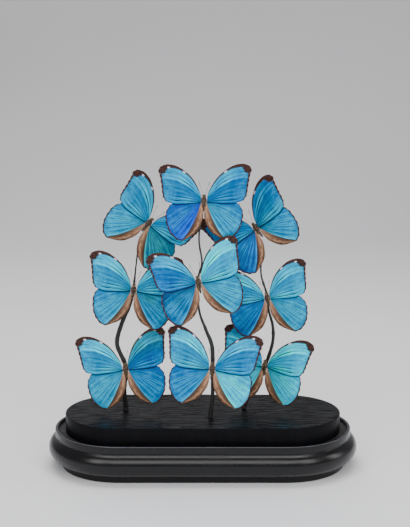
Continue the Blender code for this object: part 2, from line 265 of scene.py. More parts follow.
class Finish:
    """A new material with a Principled shader, and one method that adds any other node."""

    def __init__(self, name):
        self.material = bpy.data.materials.new(name)
        self.material.use_nodes = True
        self.tree = self.material.node_tree
        self.shader = self.tree.nodes["Principled BSDF"]

    def node(self, kind, inputs, output=0, stops=None, **settings):
        made = self.tree.nodes.new(kind)
        for key, setting in settings.items():
            setattr(made, key, setting)
        if stops:
            fill_ramp(made.color_ramp, stops)
        for key, value in inputs.items():
            self.feed(made.inputs[key], value)
        return Value(self, made.outputs[output])

    def feed(self, socket, value):
        if isinstance(value, Value):
            self.tree.links.new(value.socket, socket)
        elif isinstance(value, tuple) and len(value) == 3 and socket.type == "RGBA":
            socket.default_value = (*value, 1.0)
        else:
            socket.default_value = value

    def set(self, **sockets):
        """Feeds the shader's sockets, with a varying roughness kept between 0 and 1."""
        for name, value in sockets.items():
            if name == "Roughness" and isinstance(value, Value):
                value = self.clamp(value)
            self.feed(self.shader.inputs[name.replace("_", " ")], value)
        return self.material

    def maths(self, operation, first, second=0.0):
        return self.node("ShaderNodeMath", {0: first, 1: second}, operation=operation)

    def chain(self, operation, values):
        """One Math node after another, such as those that find the highest value."""
        return functools.reduce(lambda first, second: self.maths(operation, first, second), values)

    def clamp(self, value):
        return self.node("ShaderNodeClamp", {"Value": value})

    def step(self, value, low, high):
        """A soft step from 0 at low to 1 at high, or down where low is above high."""
        inputs = {"Value": value, "From Min": low, "From Max": high}
        return self.node("ShaderNodeMapRange", inputs, interpolation_type="SMOOTHSTEP")

    def mix(self, factor, first, second):
        inputs = {0: factor, 6: first, 7: second}
        return self.node("ShaderNodeMix", inputs, output=2, data_type="RGBA")

    def multiply(self, first, second):
        """Two colours multiplied, kept within what a surface can send back."""
        return self.node(
            "ShaderNodeMix", {0: 1.0, 6: first, 7: second}, output=2,
            data_type="RGBA", blend_type="MULTIPLY", clamp_result=True)

    def ramp(self, factor, stops):
        return self.node("ShaderNodeValToRGB", {"Fac": factor}, stops=stops)

    def vector(self, x, y):
        return self.node("ShaderNodeCombineXYZ", {"X": x, "Y": y})

    def split(self, vector):
        first = self.node("ShaderNodeSeparateXYZ", {"Vector": vector})
        return [Value(self, socket) for socket in first.socket.node.outputs]

    def uv(self, name):
        return self.node("ShaderNodeUVMap", {}, uv_map=name)

    def place(self):
        return self.node("ShaderNodeTexCoord", {}, output="Object")

    def attribute(self, name):
        return self.node("ShaderNodeAttribute", {}, output="Color", attribute_name=name)

    def noise(self, vector, scale=1.0, detail=2.0, roughness=0.5):
        inputs = {"Vector": vector, "Scale": scale, "Detail": detail, "Roughness": roughness}
        return self.node("ShaderNodeTexNoise", inputs)

    def pattern(self, x, y, detail, roughness=0.5):
        """Noise over two values that are stretched already."""
        return self.noise(self.vector(x, y), 1.0, detail, roughness)

    def bump(self, height, distance, strength, below=None):
        inputs = {"Height": height, "Distance": distance, "Strength": strength}
        if below is not None:
            inputs["Normal"] = below
        return self.node("ShaderNodeBump", inputs)


def fill_ramp(ramp, stops):
    while len(ramp.elements) > 1:
        ramp.elements.remove(ramp.elements[0])
    for index, (position, colour) in enumerate(stops):
        element = ramp.elements[0] if index == 0 else ramp.elements.new(position)
        element.position = position
        shade = colour if isinstance(colour, tuple) else (colour, colour, colour)
        element.color = (*shade, 1.0)


def linear(colour):
    """A colour of the display's range as the amounts of light that shaders use."""
    return tuple(c / 12.92 if c <= 0.04045 else ((c + 0.055) / 1.055) ** 2.4 for c in colour)


def lacquer_finish(settings):
    """Satin black lacquer over close wood, with faint brush lines, dust and a painted highlight line along
    the lip's rounded edge.
    """
    f = Finish("black_lacquer")
    run, rise, _ = f.split(f.uv("run"))
    place = f.place()
    cloud = f.noise(place, 28.0, 3.0)
    dust = f.step(f.noise(place, 2600.0, 1.0), 0.73, 0.80)
    lines = f.pattern(run * 3.0, rise * 900.0, 2.0)
    shade = f.mix(cloud * 0.6, linear(settings.lacquer), linear(settings.lacquer_worn))
    height = f.split(place)[2]
    # Painted highlight: a pale line along the lip's rounded top edge, where the lamps would catch it.
    edge = f.step(height, 0.0487, 0.0489) * (1.0 - f.step(height, 0.0491, 0.0493))
    shade = f.mix(edge * f.clamp(cloud * 1.2), shade, linear((0.42, 0.43, 0.48)))
    return f.set(
        Base_Color=f.mix(dust * 0.35, shade, linear((0.33, 0.33, 0.36))),
        Roughness=0.16 + cloud * 0.2 + dust * 0.3,
        Specular_IOR_Level=0.34,
        Normal=f.bump(lines, 0.00004, 0.5, f.bump(f.noise(place, 160.0, 2.0), 0.0003, 0.12)),
    )


def groove_finish():
    """The groove's rough floor, with grains and flecks caught in black paint."""
    f = Finish("groove_floor_paint")
    place = f.place()
    grains = f.noise(place, 900.0, 3.0, 0.65)
    flecks = f.step(f.noise(place, 620.0, 1.0), 0.62, 0.74)
    return f.set(
        Base_Color=f.mix(flecks, linear((0.05, 0.05, 0.06)), linear((0.27, 0.25, 0.28))),
        Roughness=0.75 - flecks * 0.35,
        Normal=f.bump(grains, 0.0008, 0.8),
    )


def plinth_top_finish():
    """Open grain in glossy black, whose long ripples catch the light, with pale flecks of painted
    highlight that grow towards the front edge.
    """
    f = Finish("plinth_open_grain")
    x, y, _ = f.split(f.place())
    drift = f.pattern(x * 9.0, y * 30.0, 2.0)
    grain = f.pattern(x * 34.0, y * 330.0 + drift * 5.0, 4.0, 0.62)
    fine = f.pattern(x * 160.0, y * 1500.0, 2.0, 0.6)
    pores = f.step(grain, 0.52, 0.40)
    shade = f.mix(grain * 1.6 - 0.5, linear((0.01, 0.01, 0.013)), linear((0.07, 0.07, 0.085)))
    # Painted highlight: pale bluish flecks on the grain, stronger towards the front edge.
    flecks = f.step(f.pattern(x * 70.0, y * 420.0, 3.0, 0.7), 0.6, 0.7)
    flecks = flecks * (0.25 + f.step(y, -0.03, -0.07) * 0.5)
    return f.set(
        Base_Color=f.mix(flecks, shade, linear((0.30, 0.33, 0.40))),
        Roughness=0.25 + pores * 0.35 + fine * 0.14,
        Specular_IOR_Level=0.055,
        Normal=f.bump(fine, 0.0002, 0.35, f.bump(grain, 0.0011, 0.75)),
    )


def plinth_side_finish():
    """The plinth's sanded edge, black, with faint upright marks."""
    f = Finish("plinth_edge_black")
    run, rise, _ = f.split(f.uv("run"))
    marks = f.pattern(run * 60.0, rise * 2.0, 3.0, 0.6)
    return f.set(
        Base_Color=f.mix(marks * 1.1 - 0.1, linear((0.02, 0.02, 0.025)), linear((0.085, 0.085, 0.1))),
        Roughness=0.32 + f.noise(f.place(), 40.0, 2.0) * 0.25,
        Specular_IOR_Level=0.06,
        Normal=f.bump(marks, 0.0003, 0.3),
    )


def bark_finish():
    """Black-stained bark with fine ridges and cracks, greyer where the twig is thin."""
    f = Finish("black_stained_bark")
    along, around, _ = f.split(f.uv("run"))
    place = f.place()
    ridges = f.pattern(along * 6.0, around * 9.0, 4.0, 0.65)
    cracks = f.pattern(along * 30.0, around * 26.0, 3.0, 0.7)
    thin = f.step(f.split(place)[2], 0.2, 0.3)
    stained = f.mix(ridges * 1.4 - 0.3, linear((0.03, 0.028, 0.03)), linear((0.09, 0.085, 0.085)))
    bare = f.mix(ridges, linear((0.06, 0.06, 0.055)), linear((0.24, 0.23, 0.20)))
    shade = f.mix(thin * 0.8, stained, bare)
    return f.set(
        Base_Color=f.mix(f.step(cracks, 0.46, 0.34) * 0.6, shade, (0.0, 0.0, 0.0)),
        Roughness=0.26 + f.noise(place, 60.0, 3.0) * 0.25 + cracks * 0.2,
        Normal=f.bump(cracks, 0.0005, 0.6, f.bump(ridges, 0.0009, 0.7)),
    )


def skin_finish():
    """Dark horny skin of the body, legs and antennae."""
    f = Finish("body_skin")
    grain = f.noise(f.place(), 1500.0, 3.0)
    return f.set(
        Base_Color=f.mix(grain, linear((0.10, 0.065, 0.045)), linear((0.24, 0.15, 0.09))),
        Roughness=0.5 + grain * 0.25,
        Normal=f.bump(grain, 0.0001, 0.4),
    )


def hair_finish():
    """Fine hair, whose colour is set strand by strand."""
    f = Finish("body_hair")
    strand = f.noise(f.place(), 3000.0, 2.0)
    return f.set(
        Base_Color=f.mix(strand * 0.5, f.attribute("tint"), linear((0.10, 0.07, 0.05))),
        Roughness=0.45 + strand * 0.3,
        Sheen_Weight=0.3,
    )


def eye_finish():
    f = Finish("eye")
    facets = f.noise(f.place(), 5000.0, 1.0)
    return f.set(
        Base_Color=f.mix(facets, linear((0.16, 0.11, 0.06)), linear((0.42, 0.33, 0.16))),
        Roughness=0.18 + facets * 0.12,
        Metallic=0.2,
    )


def wing_masks(f, u, space, frac, edge_width, tooth):
    """The dark outer margin, which reaches in along each vein, and its row of pale dots."""
    middle = 1.0 - abs(frac - 0.5) * 2.0
    rough = (f.pattern(u * 30.0, space * 5.0, 3.0, 0.65) - 0.5) * 0.03
    inner = 1.0 - (edge_width + tooth * (1.0 - middle) ** 2.0 + rough)
    margin = f.step(u - inner, -0.006, 0.006)
    across = (frac - 0.5) / 0.1
    along = (u - (1.0 - edge_width * 0.45)) / 0.006
    spot = 1.0 - f.step(across * across + along * along, 0.4, 1.3)
    cell = f.maths("FLOOR", space)
    return margin, spot * f.step(f.pattern(cell * 7.3, 2.5, 0.0), 0.4, 0.56)


def scale_texture(f, u, v):
    """Fine rows of scales as long streaks, with cross ripples and soft blotches of painted light and
    shade, around 0.5.
    """
    streaks = f.pattern(u * 4.0, v * 70.0, 3.0, 0.62)
    threads = f.pattern(u * 9.0, v * 240.0, 2.0, 0.6)
    bend = f.pattern(u * 2.0, v * 3.0, 1.0) * 4.0
    ripples = f.pattern(u * 17.0 + bend, v * 6.0, 2.0)
    blotches = f.pattern(u * 4.0, v * 4.5, 2.0)
    long_marks = (streaks - 0.5) * 1.2 + (threads - 0.5) * 0.6
    return 0.48 + long_marks + (ripples - 0.5) * 0.5 * f.step(u, 0.35, 0.9) + (blotches - 0.5) * 0.6


def painted_blue_light_and_shade(f, light):
    """Painted light and shade on a wing's own blue, from a painted shadow through the blue to a pale
    painted highlight.
    """
    tint = f.attribute("tint")
    shadow = f.multiply(tint, (1.0, 0.3, 0.45))
    # Painted highlight: the gleam is a pale, brighter copy of the wing's blue.
    gleam = f.mix(0.12, f.multiply(tint, (1.0, 2.5, 1.8)), (0.1, 0.95, 1.0))
    return f.mix(light * 2.0 - 1.0, f.mix(light * 2.0, shadow, tint), gleam)


def painted_crease_shade(f, shade, u, v, creases):
    """Painted shade: thin dark lines in the creases that run out from the wing's base."""
    span = u * 36.0 + 4.0
    broken = f.clamp(f.pattern(u * 7.0, v * 26.0, 2.0) * 1.8 - 0.2)
    lines = []
    for at, half, reach, depth in creases:
        line = 1.0 - f.step(abs(v - at) * span, half * 0.35, half)
        lines.append(line * (1.0 - f.step(u, reach - 0.2, reach)) * depth)
    return f.mix(f.chain("MAXIMUM", lines) * broken, shade, (0.0, 0.008, 0.05))


def spot_mask(f, x, y, centre, long, wide, lean):
    """An oval spot on a wing, in millimetres, leaning by an angle in degrees."""
    c, s = math.cos(math.radians(lean)), math.sin(math.radians(lean))
    dx, dy = x - centre[0], y - centre[1]
    along = (dx * c + dy * s) / long
    across = (dy * c - dx * s) / wide
    return 1.0 - f.step(along * along + across * across, 0.5, 1.3)


def distance(f, x, y, centre):
    dx, dy = x - centre[0], y - centre[1]
    return f.maths("SQRT", dx * dx + dy * dy)


def wing_position(f):
    """How far out and how far back a point of a wing is, and its place in millimetres."""
    u, v, _ = f.split(f.uv("rays"))
    x, y, _ = f.split(f.uv("flat"))
    return u, v, x / UV_SCALE, y / UV_SCALE


def blue_blade(f, position, fade, spaces, streaks, creases, edge_width, tooth):
    """The blue of a wing with painted light and shade of its streaks and creases, its margin and dots, and
    a mottling for them.
    """
    u, v, x, y = position
    space = v * spaces
    frac = f.maths("FRACT", space)
    wander = v + (f.pattern(u * 3.5, v * 5.0, 2.0) - 0.5) * 0.035 * u
    # Painted light and shade: the streaks' ramp and the scale texture set how lit or shaded the blue is
    # painted.
    light = (f.ramp(wander, streaks) - 0.5) * fade + scale_texture(f, u, v)
    shade = painted_crease_shade(f, painted_blue_light_and_shade(f, light), u, wander, creases)
    vein = f.step(abs(frac - 0.5), 0.46, 0.5) * f.step(u, 0.4, 0.9)
    shade = f.mix(vein * 0.45, shade, (0.0, 0.02, 0.08))
    margin, dots = wing_masks(f, u, space, frac, edge_width, tooth)
    return shade, margin, dots, f.pattern(x * 0.45, y * 0.45, 4.0, 0.65)


def scaled(f, shade, blue, mottle, u, v, settings):
    """The wing's colours on its scales, which gleam like metal where they are blue."""
    return f.set(
        Base_Color=shade,
        Metallic=blue * settings.gleam,
        Roughness=0.6 - blue * 0.14 + (mottle - 0.5) * 0.2,
        Specular_IOR_Level=0.2,
        Normal=f.bump(f.pattern(u * 30.0, v * 420.0, 2.0), 0.00012, 0.4),
    )


def forewing_top_finish(settings):
    """Blue scales with a dark front edge, a brown tip with white spots, and a dark margin."""
    f = Finish("forewing_blue_scales")
    u, v, x, y = position = wing_position(f)
    fade = 1.5 - f.step(u, 0.5, 0.9) * 1.1
    shade, margin, dots, mottle = blue_blade(
        f, position, fade, VEIN_SPACES, FOREWING_PAINTED_LIGHT, FOREWING_CREASE_SHADE, 0.034, 0.012)
    tip = 1.0 - f.step(distance(f, x, y, FOREWING_TIP) + (mottle - 0.5) * 7.0, 9.0, 11.6)
    front_width = 0.034 + 0.05 * (1.0 - u) ** 3.0 + f.step(u, 0.5, 0.95) * 0.062
    front = 1.0 - f.step(v - front_width + (mottle - 0.5) * 0.02, -0.006, 0.014)
    dark = f.chain("MAXIMUM", [margin, tip, front])
    brown = f.mix(mottle * 2.2 - 0.7, linear(settings.margin), linear(settings.margin_brown))

    chance = f.step(f.noise(f.place(), 11.0, 0.0), 0.36, 0.56)
    ragged = x + (mottle - 0.5) * 3.0
    white = f.chain("MAXIMUM", [
        spot_mask(f, ragged, y, (27.0, 36.5), 2.4, 0.8, 38) * 0.9,
        spot_mask(f, ragged, y, (46.8, 42.6), 1.5, 1.0, 10) * chance,
        dots * 0.25,
    ])
    shade = f.mix(white, f.mix(dark, shade, brown), linear((0.88, 0.82, 0.88)))
    return scaled(f, shade, (1.0 - dark) * (1.0 - white), mottle, u, v, settings)


def hindwing_top_finish(settings):
    """Blue scales with a toothed dark margin, a tan inner fold with painted pink highlights and painted
    shade along its edges, and a painted shadow of the forewing.
    """
    f = Finish("hindwing_blue_scales")
    position = wing_position(f)
    u, v = position[:2]
    fade = 1.45 - f.step(u, 0.65, 1.0) * 0.9
    shade, margin, dots, mottle = blue_blade(
        f, position, fade, VEIN_SPACES / FOLD_START, HINDWING_PAINTED_LIGHT, HINDWING_CREASE_SHADE, 0.028, 0.014)
    brown = f.mix(mottle * 2.0 - 0.6, linear(settings.margin), linear(settings.margin_brown))
    shade = f.mix(dots * 0.3, f.mix(margin, shade, brown), linear((0.85, 0.80, 0.90)))

    across = (v - FOLD_START) / (1.0 - FOLD_START)
    fibres = f.pattern(u * 9.0, across * 7.0, 5.0, 0.7)
    middle, pink, edge = (linear(c) for c in (settings.fold, settings.fold_painted_highlight, settings.fold_painted_shade))
    # Painted light and shade across the fold: dark painted shade along both edges, a painted pink
    # highlight along its crest.
    tan = f.ramp(across + (fibres - 0.5) * 0.25, [
        (0.0, linear((0.07, 0.05, 0.05))), (0.14, edge), (0.38, middle), (0.62, pink), (0.8, middle),
        (1.0, edge)])
    # Painted highlight: pink near the wing's root.
    tan = f.mix((1.0 - u) ** 3.0 * 0.8, tan, pink)
    tan = f.mix((fibres - 0.5) * 5.0 + u * 0.8, tan, linear(settings.fold_brown))
    folded = f.step(v, FOLD_START - 0.004, FOLD_START + 0.004)
    shade = f.mix(folded, shade, tan)
    # Painted shadow of the forewing over a strip just behind its hind edge. The darkening runs on under
    # the forewing, where the wing's own edge is dark too.
    behind = f.split(f.uv("shadow_behind_forewing"))[0] / UV_SCALE
    shade = f.mix((1.0 - f.step(behind, 0.6, 2.4)) * 0.94, shade, (0.002, 0.004, 0.015))
    return scaled(f, shade, (1.0 - margin) * (1.0 - folded), mottle, u, v, settings)


def underside_finish(settings, kind):
    """The brown underside, with paler bands and a row of ringed eyespots."""
    f = Finish(kind + "_brown_underside")
    u, v, x, y = wing_position(f)
    grain = f.pattern(u * 8.0, v * 90.0, 3.0, 0.6)
    cloud = f.pattern(x * 0.09, y * 0.09, 3.0)
    shade = f.mix(cloud * 1.5 - 0.25, linear(settings.under_dark), linear(settings.under))
    outer = f.step(abs(u - 0.9), 0.018, 0.008)
    inner = f.step(abs(u - 0.36 - (cloud - 0.5) * 0.12), 0.03, 0.012)
    shade = f.mix((outer + inner) * 0.7, shade, linear((0.62, 0.52, 0.38)))
    vein = f.step(abs(f.maths("FRACT", v * VEIN_SPACES) - 0.5), 0.47, 0.5)
    shade = f.mix(vein * 0.5, shade, linear((0.55, 0.43, 0.30)))
    reach = f.chain("MINIMUM", [distance(f, x, y, spot[:2]) / spot[2] for spot in EYESPOTS[kind]])
    pupil, black, edge, gold = (
        (0.75, 0.76, 0.78), (0.02, 0.015, 0.015), (0.03, 0.02, 0.015), linear((0.66, 0.50, 0.22)))
    rings = f.ramp(reach / 1.25, [
        (0.0, pupil), (0.09, pupil), (0.14, black), (0.46, black), (0.55, gold), (0.68, gold),
        (0.76, edge), (1.0, edge)])
    shade = f.mix(1.0 - f.step(reach, 1.0, 1.08), shade, rings)
    return f.set(
        Base_Color=f.mix(grain * 0.4, shade, linear((0.12, 0.08, 0.06))),
        Roughness=0.6 + grain * 0.2,
        Normal=f.bump(grain, 0.00012, 0.4),
    )


def rim_finish(settings):
    f = Finish("wing_edge")
    grain = f.noise(f.place(), 900.0, 2.0)
    shade = f.mix(grain, linear(settings.margin), linear(settings.margin_brown))
    return f.set(Base_Color=shade, Roughness=0.55 + grain * 0.2)


def new_object(name, bm, materials):
    """An object at the origin with the finished mesh, smooth to look at."""
    mesh = bpy.data.meshes.new(name)
    bm.to_mesh(mesh)
    bm.free()
    for material in materials:
        mesh.materials.append(material)
    mesh.shade_smooth()
    made = bpy.data.objects.new(name, mesh)
    bpy.context.collection.objects.link(made)
    return made


def new_piece(name, bm, materials, node):
    """A finished piece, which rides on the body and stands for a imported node."""
    piece = new_object(name, bm, materials)
    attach(piece, BODY)
    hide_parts(node)
    return piece


def smooth_points(points, per_span):
    """The smooth curve through the given points, in equal parts of each span."""
    stops = np.array(points, dtype=float)
    found = []
    for span in range(len(stops) - 1):
        before = stops[max(span - 1, 0)]
        start, end = stops[span], stops[span + 1]
        after = stops[min(span + 2, len(stops) - 1)]
        bend = 2 * before - 5 * start + 4 * end - after
        twist = 3 * start - before - 3 * end + after
        for t in np.arange(per_span) / per_span:
            found.append(start + 0.5 * t * ((end - before) + t * (bend + t * twist)))
    found.append(stops[-1])
    return np.array(found)


def spread_along(points, count):
    """Points of the smooth curve through the given ones, evenly spread over its length."""
    fine = smooth_points(points, 12)
    reach = np.concatenate([[0], np.cumsum(np.linalg.norm(np.diff(fine, axis=0), axis=1))])
    wanted = np.linspace(0, reach[-1], count + 1)
    return np.stack([np.interp(wanted, reach, fine[:, axis]) for axis in range(fine.shape[1])], 1)


def bent_grid(bm, places, uvs=None):
    """A grid of faces whose corners are set to the given places, row by row."""
    rows, columns = len(places) - 1, len(places[0]) - 1
    made = bmesh.ops.create_grid(bm, x_segments=rows, y_segments=columns, size=1)["verts"]
    index = {}
    for vert in made:
        i = round((vert.co.x + 1) / 2 * rows)
        j = round((vert.co.y + 1) / 2 * columns)
        vert.co = places[i][j]
        index[vert] = (i, j)
    faces = {face for vert in made for face in vert.link_faces}
    for name, values in (uvs or {}).items():
        layer = bm.loops.layers.uv.get(name) or bm.loops.layers.uv.new(name)
        for face in faces:
            for loop in face.loops:
                i, j = index[loop.vert]
                loop[layer].uv = values[i][j]
    return index, faces


def arc(centre_r, centre_z, radius, start, end, steps):
    """Points of a round part of a profile, between two angles in degrees."""
    angles = np.radians(np.linspace(start, end, steps + 1))
    return [(centre_r + radius * math.cos(a), centre_z + radius * math.sin(a)) for a in angles]


def oval_stations(side_steps):
    """Stations round the oval: the turning centre's x, and the outward angle."""
    stations = []
    for centre, turn in ((END_CENTRE, -90.0), (-END_CENTRE, 90.0)):
        angles = np.radians(np.linspace(turn, turn + 180.0, END_STEPS + 1))
        stations += [(centre, angle) for angle in angles]
        sides = np.linspace(centre, -centre, side_steps + 1)[1:-1]
        stations += [(x, angles[-1]) for x in sides]
    stations.append((END_CENTRE, math.radians(270.0)))
    return stations


def oval_board(profile, stations, relief):
    """A board turned along an oval from a profile of (radius, height), closed on its centre line."""
    places, uvs = [], []
    run = 0.0
    previous = None
    for centre, angle in stations:
        spot = Vector((centre + RUN_RADIUS * math.cos(angle), RUN_RADIUS * math.sin(angle)))
        run += (spot - previous).length if previous else 0.0
        previous = spot
        rise = 0.0
        row, uv_row = [], []
        for index, (radius, height) in enumerate(profile):
            if index:
                rise += math.dist(profile[index - 1], (radius, height))
            x = centre + radius * math.cos(angle)
            y = radius * math.sin(angle)
            row.append(Vector((x, y, height + relief(x, y, radius, height))) * MM)
            uv_row.append((run * UV_SCALE, rise * UV_SCALE))
        places.append(row)
        uvs.append(uv_row)
    bm = bmesh.new()
    bent_grid(bm, places, {"run": uvs})
    bmesh.ops.remove_doubles(bm, verts=bm.verts, dist=1e-6)
    bmesh.ops.recalc_face_normals(bm, faces=bm.faces)
    return bm


def make_base_moulding(settings):
    soft = LIP_SOFTENING
    inner = LIP_RADIUS - LIP_WIDTH
    band_angle = math.degrees(math.acos((BAND_RADIUS - ROLL_CENTRE) / ROLL_RADIUS))
    profile = [(0.0, 0.0), (40.0, 0.0), (FOOT_RADIUS - soft, 0.0)]
    profile += arc(FOOT_RADIUS - soft, soft, soft, -90, 0, 4)[1:] + [(FOOT_RADIUS, FOOT_TOP)]
    profile += arc(ROLL_CENTRE, ROLL_HEIGHT, ROLL_RADIUS, -90, band_angle, 30)
    profile += [
        (BAND_RADIUS - inset, height)
        for inset, height in ((0.45, 38.9), (0.4, 39.5), (0.1, 40.0), (0.25, 44.0))]
    profile += arc(LIP_RADIUS - soft, LIP_HEIGHT - soft, soft, 0, 90, 5)
    profile += arc(inner + soft, LIP_HEIGHT - soft, soft, 90, 180, 5)
    profile += [(inner, GROOVE_FLOOR + 0.3)]
    profile += [(inner - 0.3 - 1.6 * step, GROOVE_FLOOR) for step in range(9)]
    profile += [(40.0, GROOVE_FLOOR), (0.0, GROOVE_FLOOR)]

    def relief(x, y, radius, height):
        if 60 < radius < inner - 0.5 and height > GROOVE_FLOOR - 0.1:
            return 0.12 * noise.noise(Vector((x, y, 0)) * 0.6)
        return 0.0

    bm = oval_board(profile, oval_stations(70), relief)
    for face in bm.faces:
        middle = face.calc_center_median() / MM
        radius = math.hypot(max(abs(middle.x) - END_CENTRE, 0.0), middle.y)
        face.material_index = int(abs(middle.z - GROOVE_FLOOR) < 0.4 and radius < inner + 0.1)
    new_piece(
        "oval_base_moulding", bm, [lacquer_finish(settings), groove_finish()],
        "base_moulding")


def make_plinth(settings):
    soft = PLINTH_SOFTENING
    span = PLINTH_RADIUS - soft
    profile = [(0.0, PLINTH_BASE), (PLINTH_RADIUS - 0.3, PLINTH_BASE), (PLINTH_RADIUS, PLINTH_BASE + 0.3)]
    profile += [(PLINTH_RADIUS, 52.0), (PLINTH_RADIUS, 60.0)]
    profile += arc(span, PLINTH_TOP - soft, soft, 0, 90, 4)
    profile += [
        (span * (1 - step / PLINTH_TOP_STEPS), PLINTH_TOP) for step in range(1, PLINTH_TOP_STEPS + 1)]

    def relief(x, y, radius, height):
        if height < PLINTH_TOP - soft * 0.6:
            return 0.0
        waves = noise.noise(Vector((x * 0.035, y * 0.30, 0.0)))
        fine = noise.noise(Vector((x * 0.12, y * 0.75, 7.0)))
        edge = noise.noise(Vector((x * 0.25, y * 0.25, 3.0))) if radius > span - 2 else 0.0
        return settings.grain_relief / MM * (0.6 * waves + 0.4 * fine + 0.3 * edge) - 0.15

    bm = oval_board(profile, oval_stations(90), relief)
    for face in bm.faces:
        face.material_index = int(face.calc_center_median().z < (PLINTH_TOP - 0.6) * MM)
    new_piece("oval_plinth", bm, [plinth_top_finish(), plinth_side_finish()], "plinth")


def turning(degrees, axis):
    return Matrix.Rotation(math.radians(degrees), 4, axis)


def perch_matrix(pose):
    """Turns a butterfly that lies flat, head along +Y and back up, so that its back faces -Y."""
    upright = turning(90, "X") @ turning(pose["yaw"], "Y")
    upright = upright @ turning(pose["pitch"], "X") @ turning(-pose["roll"], "Z")
    return Matrix.Translation(Vector(pose["at"]) * MM) @ upright


def pose_matrix(pose):
    """From millimetres on a butterfly of standard size to its place in the display."""
    return perch_matrix(pose) @ Matrix.Scale(pose["size"] * MM, 4)


def tube(bm, stops, sides, relief=None):
    """A closed tube through stops of (x, y, z, radius), with a UV map along and around it."""
    centres = [Vector(stop[:3]) for stop in stops]
    rows, uvs = [], []
    side = Vector((0.0, 1.0, 0.0))
    travelled = 0.0
    for index, centre in enumerate(centres):
        ahead = centres[min(index + 1, len(centres) - 1)]
        behind = centres[max(index - 1, 0)]
        along = (ahead - behind).normalized()
        side = (side - along * side.dot(along)).normalized()
        other = along.cross(side)
        travelled += (centre - behind).length
        row = []
        for angle in (math.tau * step / sides for step in range(sides + 1)):
            out = side * math.cos(angle) + other * math.sin(angle)
            radius = stops[index][3]
            row.append(centre + out * (radius + (relief(centre, out, radius) if relief else 0.0)))
        rows.append(row)
        uvs.append([(travelled * UV_SCALE, step / sides) for step in range(sides + 1)])
    rows = [[centres[0]] * (sides + 1)] + rows + [[centres[-1]] * (sides + 1)]
    index, _ = bent_grid(bm, rows, {"run": [uvs[0]] + uvs + [uvs[-1]]})
    bmesh.ops.remove_doubles(bm, verts=list(index), dist=1e-5)


def twig_stops(route):
    """The route's points in millimetres with their radii, passing behind each body."""
    stops = []
    for stop in route:
        if len(stop) == 2:
            pose = BUTTERFLIES[stop[0]]
            behind = -(BELLY_DEPTH * pose["size"] + BODY_GAP + stop[1])
            spot = perch_matrix(pose) @ Vector((0, 0, behind * MM)) / MM
            stop = (*spot, stop[1])
        stops.append(stop)
    x, y, z, radius = stops[-1]
    return stops + [(x, y, z + TWIG_TOP_OVERHANG, radius)]


def make_twig(name, route, settings, material, seed):
    stops = smooth_points(twig_stops(route), TWIG_STEPS)
    x, y, _, radius = stops[0]
    foot = [(x, y, PLINTH_TOP - 0.6, radius * 1.25), (x, y, PLINTH_TOP + 1.2, radius * 1.06)]
    draw = random.Random(seed)
    knots = [(draw.uniform(80, 330), draw.uniform(0.10, 0.2)) for _ in range(settings.knots)]

    def relief(centre, out, radius):
        swell = sum(size * math.exp(-((centre.z - at) / 2.2) ** 2) for at, size in knots)
        ridges = noise.noise(Vector((out.x * 2.2, out.y * 2.2, centre.z * 0.03 + seed)))
        lumps = noise.noise(Vector((out.x * 0.8, out.y * 0.8, centre.z * 0.16 + seed)))
        return radius * (swell + 0.07 * ridges + 0.10 * lumps)

    bm = bmesh.new()
    tube(bm, np.concatenate([foot, stops]), TWIG_SIDES, relief)
    bmesh.ops.recalc_face_normals(bm, faces=bm.faces)
    bmesh.ops.transform(bm, matrix=Matrix.Scale(MM, 4), verts=bm.verts)
    new_piece(name.replace("stem", "twig"), bm, [material], name)


def patch(front, back, margin):
    """A sheet between a front edge and a back edge that meet a root and an outer margin."""
    u = np.linspace(0, 1, len(front))[:, None, None]
    v = np.linspace(0, 1, len(margin))[None, :, None]
    across = front[:, None] * (1 - v) + back[:, None] * v
    root = front[0] * (1 - v) + back[0] * v
    along = root * (1 - u) + margin[None] * u
    corners = root * (1 - u) + (front[-1] * (1 - v) + back[-1] * v) * u
    return across + along - corners


def scalloped(points, count, root, settings):
    """The outer margin, drawn in a little between the veins."""
    edge = spread_along(points, count)
    inward = np.array(root[:2]) - edge
    inward /= np.linalg.norm(inward, axis=1)[:, None]
    bite = settings.scallop / MM * np.sin(math.pi * VEIN_SPACES * np.linspace(0, 1, count + 1)) ** 2
    return edge + inward * bite[:, None]


def forewing_sheet(settings):
    front, back = (spread_along(edge, STEPS_ALONG) for edge in (FOREWING_FRONT, FOREWING_INNER))
    margin = scalloped(FOREWING_MARGIN, STEPS_ACROSS, FOREWING_ROOT, settings)
    front[-1], back[-1] = margin[0], margin[-1]
    return patch(front, back, margin), np.linspace(0, 1, STEPS_ACROSS + 1)


def hindwing_sheet(settings):
    """The blade and the inner fold as two sheets that share the fold line."""
    front, fold, inner = (
        spread_along(edge, STEPS_ALONG) for edge in (HINDWING_FRONT, HINDWING_FOLD, HINDWING_INNER))
    blade_steps = STEPS_ACROSS - FOLD_STEPS
    margin = scalloped(HINDWING_MARGIN, blade_steps, HINDWING_ROOT, settings)
    front[-1], fold[-1] = margin[0], margin[-1]
    corner = np.linspace(0, 1, FOLD_STEPS + 1)[:, None]
    corner = margin[-1] * (1 - corner) + inner[-1] * corner
    sheet = np.concatenate([patch(front, fold, margin), patch(fold, inner, corner)[:, 1:]], axis=1)
    return sheet, np.concatenate([
        np.linspace(0, FOLD_START, blade_steps + 1), np.linspace(FOLD_START, 1, FOLD_STEPS + 1)[1:]])


def groove(value, at, width):
    return math.exp(-((value - at) / width) ** 2)


def pleats(u, part):
    return -math.cos(math.tau * VEIN_SPACES * part) * u ** 0.8


